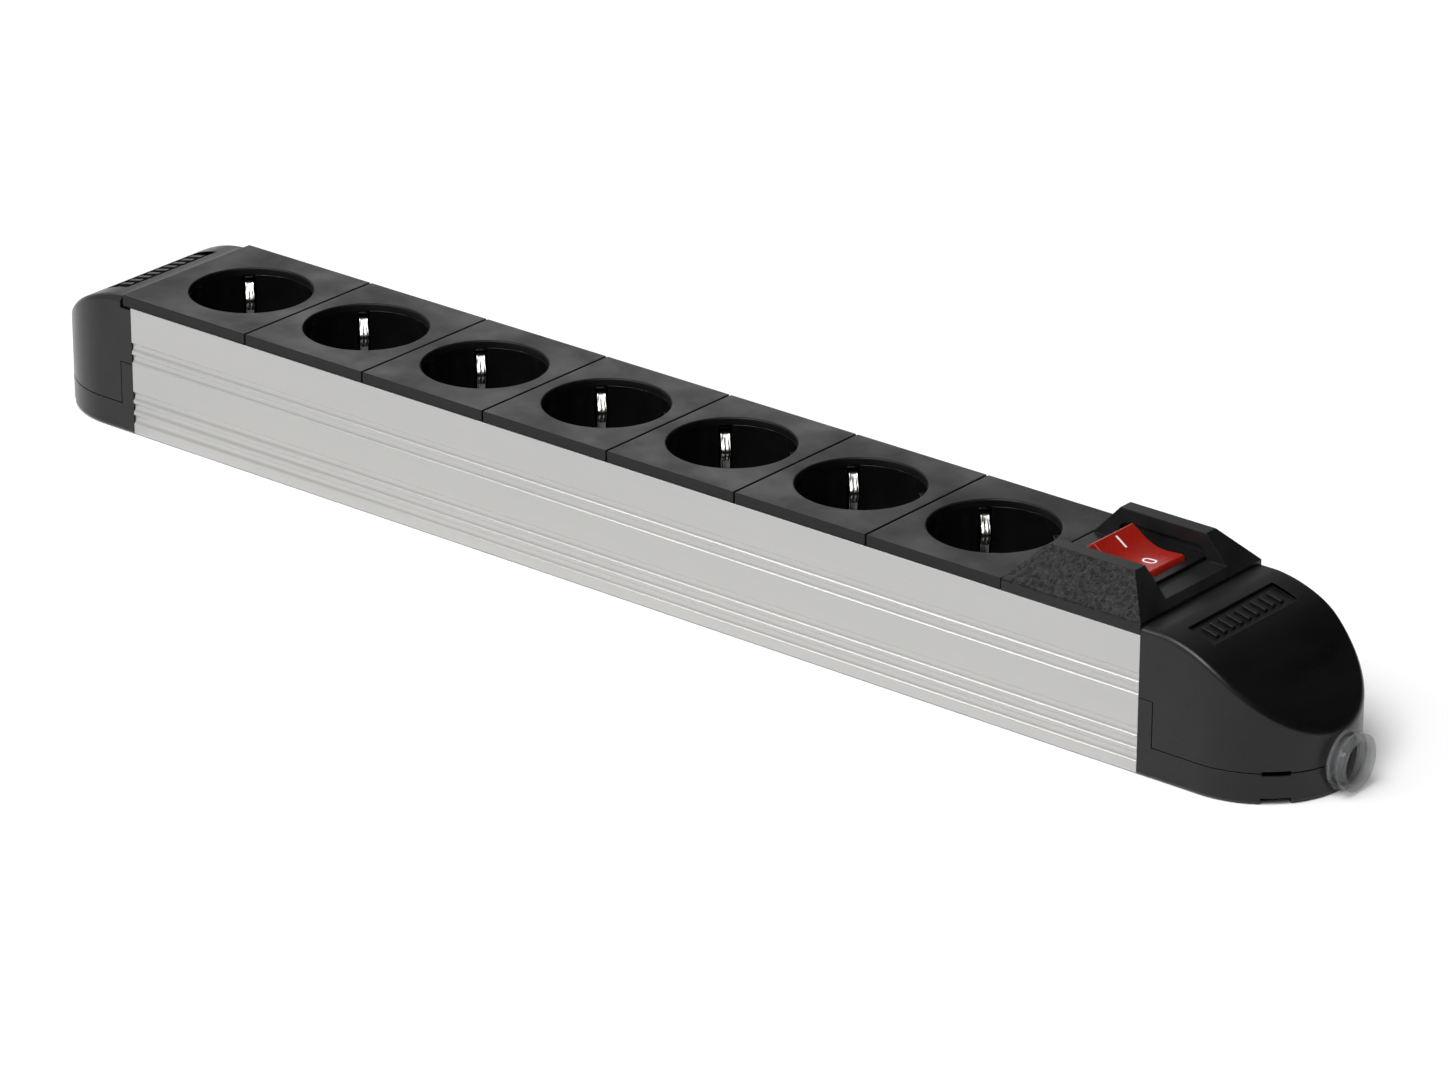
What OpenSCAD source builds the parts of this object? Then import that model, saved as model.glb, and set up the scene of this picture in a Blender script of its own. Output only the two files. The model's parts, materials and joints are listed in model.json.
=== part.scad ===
// Desk power strip: an aluminium trough with seven earthed round sockets, a guarded rocker switch,
// and a two-part rounded end at each side. +X runs towards the cord end, +Z is up, and the origin is
// the middle of the footprint.

/* [Strip] */
// Number of sockets
socket_count = 7; // [3:1:9]
// Length of one module along the strip
pitch = 50; // [48:1:56]
// Width across the strip
strip_w = 60; // [58:1:66]
// Height of the socket plates above the table
plate_z = 47.5; // [46:0.5:52]
// Height of the black edge of the plates above the aluminium
lip_h = 3.6; // [3:0.1:4.5]
// Gap between neighbouring plates
seam = 0.6; // [0.4:0.1:1]
// Overhang of the first plate past the trough
end_flange = 4; // [2:0.5:4.5]

/* [Sockets] */
// Diameter of the round recess
recess_d = 40; // [39:0.5:42]
// Depth of the recess below the plate
recess_depth = 17.5; // [17.5:0.5:18]
// Distance between the pin holes
pin_spacing = 19; // [18.5:0.5:19.5]
// Diameter of a pin hole
pin_hole_d = 5.4; // [5.2:0.1:5.8]
// Turn of the pin line against the strip
socket_turn = 45; // [45:1:45]

/* [Switch] */
// Height of the side guards above the plates
guard_h = 10.5; // [9:0.5:12]
// Width of the flat ridge on a guard
ridge_w = 5; // [4:0.5:6]
// Tilt of the rocker each side of level
rocker_tilt = 15; // [12:1:15]
// Swing of the contact levers each side of level
lever_tilt = 6; // [4:1:6]

/* [Ends] */
// Radius of the round noses
nose_r = 30; // [29:0.5:33]
// Length of the cable end
cable_end_l = 51.5; // [48:0.5:56]
// Length of the blank end
blank_end_l = 44.5; // [42:0.5:50]
// Height of the parting line between hood and base
parting_z = 9.8; // [9.8:0.1:10.4]
// Width of the collar next to the trough
collar_w = 5; // [4.5:0.5:6]
// Height of the base's upstanding ear
ear_z = 24.3; // [20:0.1:28]
// How far the clear bushing stands out of the nose
bushing_out = 5; // [4:0.5:7]
// Radius of the cord hole in the bushing
cord_hole_r = 6.5; // [5:0.1:6.8]

/* [Hidden] */
$fn = 96;

// Lengths along the strip
profile_l = pitch * (socket_count + 1);
total_l = blank_end_l + profile_l + cable_end_l + bushing_out;
x_blank = blank_end_l - total_l / 2;
x_cable = x_blank + profile_l;
x_nose = x_cable + cable_end_l;
x_switch = x_cable - pitch / 2;
function socket_x(i) = x_blank + pitch * (i - 0.5);

// Heights
profile_h = plate_z - lip_h;
plate_t = 2.5;
plate_under = plate_z - plate_t;
recess_floor = plate_z - recess_depth;
cup_floor_t = 2;
cup_under = recess_floor - cup_floor_t;
half_w = strip_w / 2;

// Trough section
wall = 2.2;
inner_y = half_w - wall;
ledge_w = 2.5;
ledge_top = profile_h - 0.6;
ledge_t = 1.4;
groove_r = 2.6;
groove_depth = 0.5;
groove_z = [5.6, 9.6, 13.6, 26.6, 30.6];

// Metal strips inside
strip_t = 0.8;
pin_reach = pin_spacing / 2;
rail_y = pin_reach * sin(socket_turn);
rail_w = 7;
rail_z = 8;
leaf_top = 24.5;
leaf_l = 7;
pin_grip = 2.25;
clip_w = 2.9;
clip_z = cup_under - 1.4;
earth_rail_w = 4;
earth_rail_z = clip_z - strip_t;
rail_end = x_cable - 14;
foot_x = x_blank + 18;

// Switch, in heights above the plates and lengths from the module's middle
floor_h = 2.1;
bezel_t = 1.3;
bezel_x = 15.5;
bezel_y = 15.6;
channel_y = 15;
pivot_z = plate_z - 1.3;
rocker_w = 19.6;
rocker_half_l = 9.5;
rocker_rise = 8.7;
rocker_slope = 19;
rocker_blend_r = 14;
rocker_skin = 1.6;
rocker_end_r = norm([rocker_half_l, rocker_rise]);
pin_r = 1.8;
running_gap = 0.06;
case_x = 13.3;
case_y = 10.1;
case_wall = 1.5;
case_floor = 30;
case_floor_t = 1.6;
pole_y = 5;
lever_z = 35.2;
lever_l = 9.5;
lever_w = 3.6;
bead_r = 1;
plunger_r = 1.2;
plunger_tip = 9.6;

// End caps
shell = 2.2;
edge_round = 1.8;
run_cable = cable_end_l - nose_r;
run_blank = blank_end_l - nose_r;
hood_drop = 1;
hood_flat = 6;
hood_arc_r = 42;
hood_arc_from = 4;
hood_slope = 38;
badge_x = 10;
badge_l = 9.5;
badge_w = 42;
screw_r = 1.45;
screw_head_r = 2.9;
boss_r = 3.4;
boss_y = 18;
tongue_l = 12;
tongue_y = 20;
tongue_screw_y = 14;
far = 200;

matte_black = "#2b2c2d";
gloss_black = "#121314";
brass = "#c8a24a";
nickel = "#c9cbcc";
steel = "#9a9da0";

// ---- Shared shapes ----

// A block given by its [from, to] along each axis
module slab(x, y, z) {
    translate([x[0], y[0], z[0]])
        cube([x[1] - x[0], y[1] - y[0], z[1] - z[0]]);
}

// A section drawn as [y, z], run along X
module along_x(from, to) {
    translate([from, 0, 0])
        rotate([90, 0, 90])
            linear_extrude(to - from) children();
}

// A section drawn as [x, z], run along Y
module along_y(from, to) {
    translate([0, to, 0])
        rotate([90, 0, 0])
            linear_extrude(to - from) children();
}

// A round bar along Y
module bar_y(r, from, to) {
    translate([0, from, 0])
        rotate([-90, 0, 0])
            cylinder(r = r, h = to - from);
}

// A round bar along X
module bar_x(r, from, to) {
    translate([from, 0, 0])
        rotate([0, 90, 0])
            cylinder(r = r, h = to - from);
}

module both_sides() {
    children();
    mirror([0, 1, 0]) children();
}

function unit(v) = v / norm(v);
function left_of(v) = [-v[1], v[0]];
function joint_normal(p, i) =
    let (last = len(p) - 1,
         a = i == 0 ? unit(p[1] - p[0]) : unit(p[i] - p[i - 1]),
         b = i == last ? a : unit(p[i + 1] - p[i]),
         m = unit(left_of(a) + left_of(b)))
    m / (m * left_of(a));
function arc(c, r, from, to, n = 12) =
    [for (k = [0:n]) let (a = from + (to - from) * k / n) c + r * [cos(a), sin(a)]];
function reversed(p) = [for (i = [len(p) - 1:-1:0]) p[i]];
function mirrored(p) = [for (q = p) [-q[0], q[1]]];

// A bent strip of thickness t that follows the points
module ribbon(p, t) {
    side = [for (i = [0:len(p) - 1]) p[i] + joint_normal(p, i) * t / 2];
    other = [for (i = [0:len(p) - 1]) p[i] - joint_normal(p, i) * t / 2];
    polygon(concat(side, reversed(other)));
}

// The corner that a round of radius r takes off, for a corner at the origin
module round_corner(r) {
    difference() {
        translate([-0.01, -0.01]) square(r + 0.01);
        translate([r, r]) circle(r);
    }
}

// Screw with a flat head, pointing down from the origin, with a cross recess
module screw(length, r = screw_r, head_r = screw_head_r) {
    recess = [head_r * 0.6, 0.5, 1];
    difference() {
        union() {
            cylinder(r = head_r, h = 1.9);
            translate([0, 0, -length]) cylinder(r = r, h = length);
        }
        for (a = [0, 90])
            rotate(a)
                translate([-recess[0], -recess[1] / 2, 1.9 - recess[2]])
                    cube([2 * recess[0], recess[1], 2]);
    }
}

// ---- Trough and rails ----

module profile_section() {
    difference() {
        translate([-half_w, 0]) square([strip_w, profile_h]);
        difference() {
            translate([-inner_y, wall]) square([2 * inner_y, profile_h]);
            for (side = [0, 1])
                mirror([side, 0])
                    translate([inner_y - ledge_w, ledge_top - ledge_t])
                        square([ledge_w + 1, ledge_t]);
        }
        for (side = [0, 1])
            mirror([side, 0]) {
                translate([-half_w, 0]) round_corner(1.2);
                for (z = groove_z)
                    translate([half_w + groove_r - groove_depth, z]) circle(groove_r);
            }
    }
}

module tongue_screw_places() {
    for (x = [x_blank + tongue_l / 2, x_cable - tongue_l / 2], y = [-1, 1])
        translate([x, y * tongue_screw_y, 0]) children();
}

module aluminium_profile() {
    color(nickel)
        difference() {
            along_x(x_blank, x_cable) profile_section();
            tongue_screw_places() {
                translate([0, 0, -1]) cylinder(r = 1.7, h = 5);
                translate([0, 0, -0.01]) cylinder(r1 = 3.3, r2 = 1.7, h = 1.6);
            }
            translate([foot_x, 0, -1]) cylinder(r = 1.65, h = 5);
        }
}

// Insulating tray with a seat under each rail
module rail_carrier() {
    from = x_blank + tongue_l + 1;
    to = x_cable - tongue_l - 1;
    color(gloss_black)
        difference() {
            along_x(from, to) {
                translate([-26, wall]) square([52, 1.6]);
                for (y = [-1, 1]) {
                    translate([y * rail_y - 1, wall]) square([2, rail_z - wall]);
                    translate([y * 12 - 0.6, wall]) square([1.2, 12]);
                    translate([y * 1.4 - 0.5, wall]) square([1, earth_rail_z - wall]);
                }
            }
            slab([from - 1, from + 12], [-3.6, 3.6], [0, 40]);
        }
}

// Brass strip with two sprung leaves for each socket's pin; side is 1 for live, -1 for neutral
module contact_rail(side) {
    first = socket_x(1) + side * rail_y - leaf_l / 2;
    leaf = [[2.9, rail_z + 0.4], [2.9, 13], [pin_grip + 0.3, 20], [3.3, leaf_top]];
    color(brass)
        translate([0, side * rail_y, 0]) {
            slab([first, rail_end], [-rail_w / 2, rail_w / 2], [rail_z, rail_z + strip_t]);
            for (i = [1:socket_count])
                both_sides()
                    along_x(socket_x(i) + side * rail_y - leaf_l / 2,
                            socket_x(i) + side * rail_y + leaf_l / 2)
                        ribbon(leaf, 0.6);
        }
}

module live_rail() {
    contact_rail(1);
}

module neutral_rail() {
    contact_rail(-1);
}

// Strip under the earth clips, bent down to a foot on the trough floor
module earth_rail() {
    z = earth_rail_z + strip_t / 2;
    foot = wall + strip_t / 2;
    path = [[foot_x - 3.5, foot], [foot_x + 3.6, foot], [foot_x + 3.6, z], [rail_end - 12, z]];
    color(brass)
        difference() {
            along_y(-earth_rail_w / 2 - 1, earth_rail_w / 2 + 1) ribbon(path, strip_t);
            for (y = [-1, 1])
                slab([foot_x + 3.3, x_cable], [y * 3 - 1, y * 3 + 1], [0, 40]);
            translate([foot_x, 0, 0]) cylinder(r = 1.7, h = 6);
        }
}

module earth_screw() {
    color(steel)
        translate([foot_x, 0, wall + strip_t]) screw(wall + strip_t - 0.3, r = 1.6, head_r = 2.8);
}

// ---- Socket modules ----

// Plate with its side lips on the trough's edges; the children are cut out of it
module module_plate(from, to) {
    difference() {
        union() {
            slab([from, to], [-inner_y, inner_y], [plate_under, plate_z]);
            both_sides()
                along_x(from, to)
                    difference() {
                        translate([inner_y - 0.1, profile_h]) square([wall + 0.1, lip_h]);
                        translate([half_w, plate_z]) rotate(180) round_corner(0.6);
                    }
        }
        children();
    }
}

module socket_cover(i) {
    from = socket_x(i) - pitch / 2 + seam / 2 - (i == 1 ? end_flange : 0);
    mouth_r = recess_d / 2;
    mouth_round = 0.6;
    color(matte_black)
        union() {
            module_plate(from, socket_x(i) + pitch / 2 - seam / 2)
                translate([socket_x(i), 0, 0]) {
                    cylinder(r = mouth_r, h = far);
                    translate([0, 0, plate_z])
                        rotate_extrude()
                            translate([mouth_r - 0.01, 0]) mirror([0, 1]) round_corner(mouth_round);
                }
            if (i == 1)
                slab([from, x_blank - 1.2], [-inner_y, inner_y], [profile_h, plate_under + 0.1]);
        }
}

module socket_insert(i) {
    inner_r = recess_d / 2;
    outer_r = inner_r + 1.8;
    rib = [2.2, 3.4];
    slot = [1.6, 4.2];
    color(gloss_black)
        translate([socket_x(i), 0, 0])
            difference() {
                union() {
                    difference() {
                        union() {
                            translate([0, 0, cup_under])
                                cylinder(r = outer_r, h = plate_under - cup_under);
                            slab([-24.3, 24.3], [-inner_y + 0.3, inner_y - 0.3], [ledge_top, plate_under]);
                        }
                        translate([0, 0, recess_floor]) cylinder(r = inner_r, h = far);
                    }
                    for (a = [socket_turn, socket_turn + 180])
                        rotate(a)
                            slab([inner_r - rib[0], inner_r + 1], [-rib[1] / 2, rib[1] / 2],
                                 [cup_under, plate_under - 2]);
                }
                for (a = [socket_turn + 90, socket_turn + 270])
                    rotate(a)
                        slab([inner_r - slot[0], outer_r + 0.1], [-slot[1] / 2, slot[1] / 2],
                             [cup_under - 1, plate_under + 1]);
                for (a = [socket_turn, socket_turn + 180])
                    rotate(a)
                        translate([pin_reach, 0, cup_under - 1]) {
                            cylinder(d = pin_hole_d, h = 4);
                            translate([0, 0, cup_floor_t + 0.5])
                                cylinder(d1 = pin_hole_d, d2 = pin_hole_d + 1.2, h = 0.6);
                        }
            }
}

// One bent strip: a bar under the cup and a sprung finger up each side of the recess
module earth_clip(i) {
    r = recess_d / 2;
    bar_z = clip_z + strip_t / 2;
    finger = concat(
        arc([r - 1.8, bar_z + 1], 1, -90, 0, 6),
        [[r - 0.8, recess_floor + 2.4]],
        arc([r - 1.4, recess_floor + 8.4], 1.5, 200, 140, 6),
        [[r - 0.9, recess_floor + 11.3]],
        [[r + 0.7, recess_floor + 12.8]]);
    color(nickel)
        translate([socket_x(i), 0, 0])
            rotate(socket_turn + 90)
                along_y(-clip_w / 2, clip_w / 2)
                    ribbon(concat(mirrored(reversed(finger)), finger), strip_t);
}

// ---- Switch module ----

// Shape seen from the side that both guards and the raised floor share
module guard_outline(top) {
    slope = 0.92;
    half = pitch / 2;
    polygon([[-half, 0], [-half + top * slope, top], [half - top * slope, top], [half, 0]]);
}

module guard() {
    intersection() {
        translate([x_switch, 0, plate_z]) along_y(0, half_w) guard_outline(guard_h);
        along_x(x_switch - pitch / 2, x_switch + pitch / 2)
            translate([0, plate_z])
                polygon([[channel_y, -0.1], [channel_y, guard_h], [channel_y + ridge_w, guard_h],
                         [half_w, 0], [half_w, -0.1]]);
    }
}

// Pocket in a guard's inner face beside the rocker
module guard_pocket() {
    top = 6.2;
    corner = 3.5;
    translate([x_switch, 0, plate_z])
        along_y(channel_y - 1, bezel_y + 0.4)
            difference() {
                translate([-bezel_x - 0.2, floor_h]) square([2 * bezel_x + 0.4, top - floor_h]);
                for (side = [0, 1])
                    mirror([side, 0])
                        translate([bezel_x + 0.2, top]) rotate(180) round_corner(corner);
            }
}

module switch_cover() {
    color(matte_black)
        difference() {
            union() {
                module_plate(x_switch - pitch / 2 + seam / 2, x_cable - 0.05);
                both_sides() guard();
                intersection() {
                    translate([x_switch, 0, plate_z])
                        along_y(-channel_y - 0.1, channel_y + 0.1) guard_outline(floor_h);
                    slab([x_switch - bezel_x - 0.2, x_cable], [-half_w, half_w],
                         [plate_z - 0.1, plate_z + floor_h]);
                }
            }
            slab([x_switch - case_x - case_wall - 0.1, x_switch + case_x + case_wall + 0.1],
                 [-case_y - case_wall - 0.1, case_y + case_wall + 0.1], [0, far]);
            both_sides() guard_pocket();
            slab([x_switch - far, x_switch - pitch / 2 + seam / 2], [-half_w, half_w], [0, far]);
        }
}

module switch_housing() {
    bezel_z = plate_z + floor_h;
    opening_x = case_x - 0.55;
    color(gloss_black)
        translate([x_switch, 0, 0])
            difference() {
                union() {
                    slab([-case_x - case_wall, case_x + case_wall],
                         [-case_y - case_wall, case_y + case_wall],
                         [case_floor - case_floor_t, bezel_z + 0.1]);
                    slab([-bezel_x, bezel_x], [-bezel_y, bezel_y], [bezel_z, bezel_z + bezel_t]);
                }
                slab([-case_x, case_x], [-case_y, case_y], [case_floor, bezel_z]);
                slab([-opening_x, opening_x], [-case_y, case_y], [case_floor, far]);
                translate([0, 0, pivot_z]) bar_y(pin_r + running_gap, -case_y - far, case_y + far);
                for (y = [-pole_y, pole_y]) {
                    slab([-0.5, 0.5], [y - 1.7, y + 1.7], [0, case_floor + 1]);
                    slab([lever_l - 1.4, lever_l + 0.4], [y - 1.7, y + 1.7], [0, case_floor + 1]);
                }
            }
}

// Hollow saddle shape of the rocker, drawn level about its pivot
function saddle_top(drop) =
    let (a = rocker_slope,
         valley = rocker_rise - rocker_half_l * tan(a) - drop / cos(a),
         c = [0, valley + rocker_blend_r / cos(a)])
    arc(c, rocker_blend_r, 270 - a, 270 + a, 10);
module saddle_outline() {
    difference() {
        intersection() {
            circle(rocker_end_r);
            translate([-rocker_end_r, 0]) square([2 * rocker_end_r, rocker_rise]);
        }
        saddle_cut(0);
    }
}

// Everything above the saddle's hollow top, lowered by drop
module saddle_cut(drop) {
    valley = rocker_rise - rocker_half_l * tan(rocker_slope) - drop / cos(rocker_slope);
    lift = rocker_half_l * tan(rocker_slope) * 3;
    bottom = saddle_top(drop);
    polygon(concat([[-3 * rocker_half_l, valley + lift]], bottom, [[3 * rocker_half_l, valley + lift]]));
}

module rocker_shape() {
    difference() {
        along_y(-rocker_w / 2, rocker_w / 2) saddle_outline();
        along_y(-rocker_w / 2 + 1.4, rocker_w / 2 - 1.4)
            difference() {
                translate([-far, -1]) square([2 * far, far]);
                difference() {
                    translate([-far, -2]) square([2 * far, far]);
                    intersection() {
                        circle(rocker_end_r - rocker_skin);
                        translate([-far, -1]) square([2 * far, far]);
                    }
                }
                saddle_cut(rocker_skin);
            }
    }
    both_sides() {
        along_y(rocker_w / 2 - 1.4, rocker_w / 2)
            union() {
                circle(3.6);
                translate([-3.6, 0]) square([7.2, 4]);
            }
        bar_y(pin_r, rocker_w / 2 - 0.1, case_y + case_wall - 0.2);
        translate([0, pole_y, 0])
            difference() {
                translate([0, 0, -4.6]) cylinder(r = 2.2, h = 9.8);
                translate([0, 0, -5]) cylinder(r = 1.5, h = 7.2);
            }
    }
}

module at_pivot() {
    translate([x_switch, 0, pivot_z])
        rotate([0, rocker_tilt, 0]) children();
}

module rocker() {
    color("#d81f1c") at_pivot() rocker_shape();
}

module plunger(y) {
    color(nickel)
        at_pivot()
            translate([0, y, -plunger_tip + plunger_r]) {
                sphere(plunger_r);
                cylinder(r = plunger_r, h = 4.6);
            }
}

module live_plunger() {
    plunger(pole_y);
}

module neutral_plunger() {
    plunger(-pole_y);
}

// Two small coil springs between the plungers and the rocker
module plunger_springs() {
    spring_h = 4.8;
    turns = 5;
    color(steel)
        at_pivot()
            for (y = [-pole_y, pole_y])
                translate([0, y, -plunger_tip + plunger_r + 4.8])
                    linear_extrude(spring_h, twist = -360 * turns, slices = turns * 9, $fn = 8)
                        translate([1.05, 0]) circle(0.25);
}

// Seesaw contact: a shallow V strip on a round bead, with a contact under its cable side
module lever(y) {
    path = [[-lever_l, 1], [0, 0.6], [lever_l, 1]];
    color(brass)
        translate([x_switch, y, lever_z])
            rotate([0, -lever_tilt, 0]) {
                along_y(-lever_w / 2, lever_w / 2) ribbon(path, strip_t);
                bar_y(bead_r, -lever_w / 2, lever_w / 2);
                translate([lever_l - 1.3, 0, -0.1]) cylinder(r = 1.2, h = 0.8);
            }
}

module live_lever() {
    lever(pole_y);
}

module neutral_lever() {
    lever(-pole_y);
}

// Blade with a half-round cradle for the lever's bead
module supply_terminal(y) {
    color(brass)
        translate([x_switch, y, 0])
            difference() {
                union() {
                    slab([-0.4, 0.4], [-1.6, 1.6], [21, lever_z - 1.7]);
                    slab([-1.5, 1.5], [-1.6, 1.6], [lever_z - 1.8, lever_z - 0.25]);
                }
                translate([0, 0, lever_z]) bar_y(bead_r + running_gap, -3, 3);
            }
}

module live_supply_terminal() {
    supply_terminal(pole_y);
}

module neutral_supply_terminal() {
    supply_terminal(-pole_y);
}

// Blade that stands on the rail, with a contact rivet under the lever's end
module load_terminal(y) {
    top = lever_z - 1.8;
    color(brass)
        translate([x_switch, y, 0]) {
            slab([lever_l - 0.9, lever_l - 0.1], [-1.6, 1.6], [rail_z + strip_t, top]);
            slab([lever_l - 2.6, lever_l - 0.1], [-1.6, 1.6], [top - strip_t, top]);
            translate([lever_l - 1.3, 0, top - 0.1]) cylinder(r = 1.1, h = 0.4);
        }
}

module live_load_terminal() {
    load_terminal(pole_y);
}

module neutral_load_terminal() {
    load_terminal(-pole_y);
}

module indicator_lamp() {
    lamp_r = 2;
    color("#f0a060")
        translate([x_switch, 0, case_floor]) {
            cylinder(r = lamp_r, h = 8);
            translate([0, 0, 8]) sphere(lamp_r);
        }
}

// ---- Ends ----
// Each end is drawn with the middle of its round nose at the origin and the nose towards +X.

// D-shaped solid from a section drawn as [radius, z], with a straight run behind the round
module dee(run) {
    intersection() {
        rotate_extrude() children();
        translate([0, -far / 2, -1]) cube([far, far, far]);
    }
    along_x(-run, 0) {
        children();
        mirror([1, 0]) children();
    }
}

// Side view of a hood, [x, z], from behind the trough's end at -run, lowered by drop
module hood_outline(run, drop) {
    from = [hood_flat - run, plate_z - hood_drop - drop];
    c = from - hood_arc_r * [sin(hood_arc_from), cos(hood_arc_from)];
    bend = arc(c, hood_arc_r, 90 - hood_arc_from, 90 - hood_slope, 16);
    last = bend[len(bend) - 1];
    reach = nose_r + 10 - last[0];
    polygon(concat(
        [[-run - 10, 0], [-run - 10, from[1]]],
        bend,
        [[last[0] + reach, last[1] - reach * tan(hood_slope)], [last[0] + reach, 0]]));
}

module hood_solid(run, drop, inset) {
    intersection() {
        along_y(-half_w, half_w) hood_outline(run, drop);
        dee(run + 10) square([nose_r - inset, plate_z]);
    }
}

// The hood's outside, with its top edge rounded by edge_round
module rounded_hood(run) {
    hull()
        for (a = [0:15:90])
            hood_solid(run, edge_round * (1 - sin(a)), edge_round * (1 - cos(a)), $fn = 64);
}

module nose_cut(a, width, z) {
    for (side = [-a, a])
        rotate(side) slab([nose_r - 4, nose_r + 2], [-width / 2, width / 2], z);
}

module boss_places() {
    for (y = [-1, 1])
        translate([4, y * boss_y, 0]) children();
}

module badge(run) {
    z = plate_z - hood_drop - 1.5;
    floor_slope = 13;
    bars = 9;
    translate([badge_x - run, 0, z])
        rotate([0, floor_slope, 0])
            difference() {
                slab([0, badge_l], [-badge_w / 2, badge_w / 2], [0, 8]);
                for (k = [0:bars - 1])
                    translate([0, (k - (bars - 1) / 2) * 4, 0])
                        slab([2, badge_l - 2], [-0.9, 0.9], [-1, 0.5]);
            }
}

module end_hood(run) {
    color(matte_black)
        difference() {
            union() {
                difference() {
                    intersection() {
                        rounded_hood(run);
                        slab([-run + 0.05, far], [-half_w, half_w], [parting_z, plate_z]);
                    }
                    difference() {
                        hood_solid(run, shell, shell);
                        slab([-far, -run + shell], [-far, far], [ear_z, far]);
                    }
                }
                intersection() {
                    boss_places()
                        translate([0, 0, parting_z]) cylinder(r = boss_r, h = plate_z);
                    hood_solid(run, shell / 2, shell);
                }
            }
            boss_places()
                translate([0, 0, parting_z - 1]) cylinder(r = screw_r + 0.05, h = 12);
            slab([-run - 1, -run + collar_w], [-half_w - 1, half_w + 1], [0, ear_z]);
            nose_cut(45, 8.5, [parting_z - 0.01, parting_z + 0.7]);
            badge(run);
            children();
        }
}

// Base tray with a collar that stands up beside the trough and a tongue that goes inside it
module end_base(run) {
    foot_round = 1.5;
    color(matte_black)
        difference() {
            union() {
                difference() {
                    dee(run - 0.05)
                        difference() {
                            square([nose_r, parting_z - 0.05]);
                            translate([nose_r, 0]) mirror([1, 0]) round_corner(foot_round);
                        }
                    difference() {
                        dee(run + 1) translate([0, shell]) square([nose_r - shell, parting_z]);
                        slab([-far, -run + shell], [-far, far], [0, far]);
                        boss_places() cylinder(r = boss_r + 1.2, h = parting_z);
                    }
                }
                slab([-run + 0.05, -run + shell], [-half_w, half_w], [1, ear_z - 0.05]);
                both_sides()
                    slab([-run + 0.05, -run + collar_w - 0.05], [half_w - shell, half_w], [1, ear_z - 0.05]);
                slab([-run - tongue_l, -run + 1], [-tongue_y, tongue_y], [wall + 0.1, wall + 3.6]);
            }
            boss_places() {
                translate([0, 0, -1]) cylinder(r = screw_r + 0.3, h = 20);
                translate([0, 0, -1]) cylinder(r = screw_head_r + 0.4, h = 4);
            }
            for (y = [-1, 1])
                translate([-run - tongue_l / 2, y * tongue_screw_y, 0]) cylinder(r = screw_r + 0.05, h = 10);
            slab([-run - 1, -run + shell + 1], [-10, 10], [8, 19]);
            nose_cut(45, 9, [-1, 2.2]);
            nose_cut(45, 8.5, [parting_z - 0.6, parting_z + 1]);
            children();
        }
}

module at_cable_end() {
    translate([x_nose - nose_r, 0, 0]) children();
}

module at_blank_end() {
    translate([x_blank - run_blank, 0, 0]) rotate(180) children();
}

// Round seat that hood and base share for the bushing
module bushing_seat() {
    translate([0, 0, parting_z]) bar_x(7.9, nose_r - 9, nose_r + 5);
}

module clamp_screw_places() {
    for (y = [-1, 1])
        translate([-6, y * 11.5, 0]) children();
}

module cable_end_base() {
    at_cable_end() {
        end_base(run_cable) bushing_seat();
        color(matte_black)
            clamp_screw_places()
                difference() {
                    translate([0, 0, shell - 0.1]) cylinder(r = 3.2, h = 6.9);
                    translate([0, 0, shell + 1]) cylinder(r = screw_r + 0.05, h = 10);
                }
    }
}

module cable_end_hood() {
    at_cable_end() end_hood(run_cable) bushing_seat();
}

module blank_end_base() {
    at_blank_end() end_base(run_blank);
}

module blank_end_hood() {
    at_blank_end()
        end_hood(run_blank)
            slab([-run_blank - 1, -run_blank + end_flange + 0.6], [-far, far], [profile_h - 0.8, far]);
}

// Clear sleeve: inner flange with a flat, plain neck in the wall, and two rings outside
module cable_bushing() {
    neck_r = 7.8;
    tip = nose_r + bushing_out;
    color("#dfe6ea", 0.5)
        at_cable_end()
            translate([0, 0, parting_z])
                difference() {
                    union() {
                        bar_x(neck_r, nose_r - 6, tip);
                        intersection() {
                            bar_x(9.3, nose_r - 6, nose_r - 4.6);
                            slab([0, far], [-far, far], [shell + 0.2 - parting_z, far]);
                        }
                        bar_x(9.3, nose_r + 0.1, nose_r + 1.5);
                        bar_x(8.7, nose_r + 2.8, tip);
                    }
                    bar_x(cord_hole_r, 0, far);
                }
}

// Arched bridge that presses on the cord
module cord_clamp() {
    seat = shell + 6.9;
    color(gloss_black)
        at_cable_end()
            difference() {
                slab([-10, -2], [-15, 15], [seat, seat + 7]);
                translate([0, 0, parting_z]) bar_x(5.2, -11, -1);
                clamp_screw_places() cylinder(r = screw_r + 0.3, h = far);
            }
}

module cord_clamp_screws() {
    color(steel)
        at_cable_end()
            clamp_screw_places() translate([0, 0, shell + 13.9]) screw(11);
}

module hood_screws() {
    color(steel) {
        at_cable_end() boss_places() translate([0, 0, 3]) mirror([0, 0, 1]) screw(16);
        at_blank_end() boss_places() translate([0, 0, 3]) mirror([0, 0, 1]) screw(16);
    }
}

module profile_screws() {
    color(steel)
        tongue_screw_places() {
            cylinder(r1 = 3.1, r2 = screw_r, h = 1.6);
            cylinder(r = screw_r, h = 5.6);
        }
}

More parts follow.
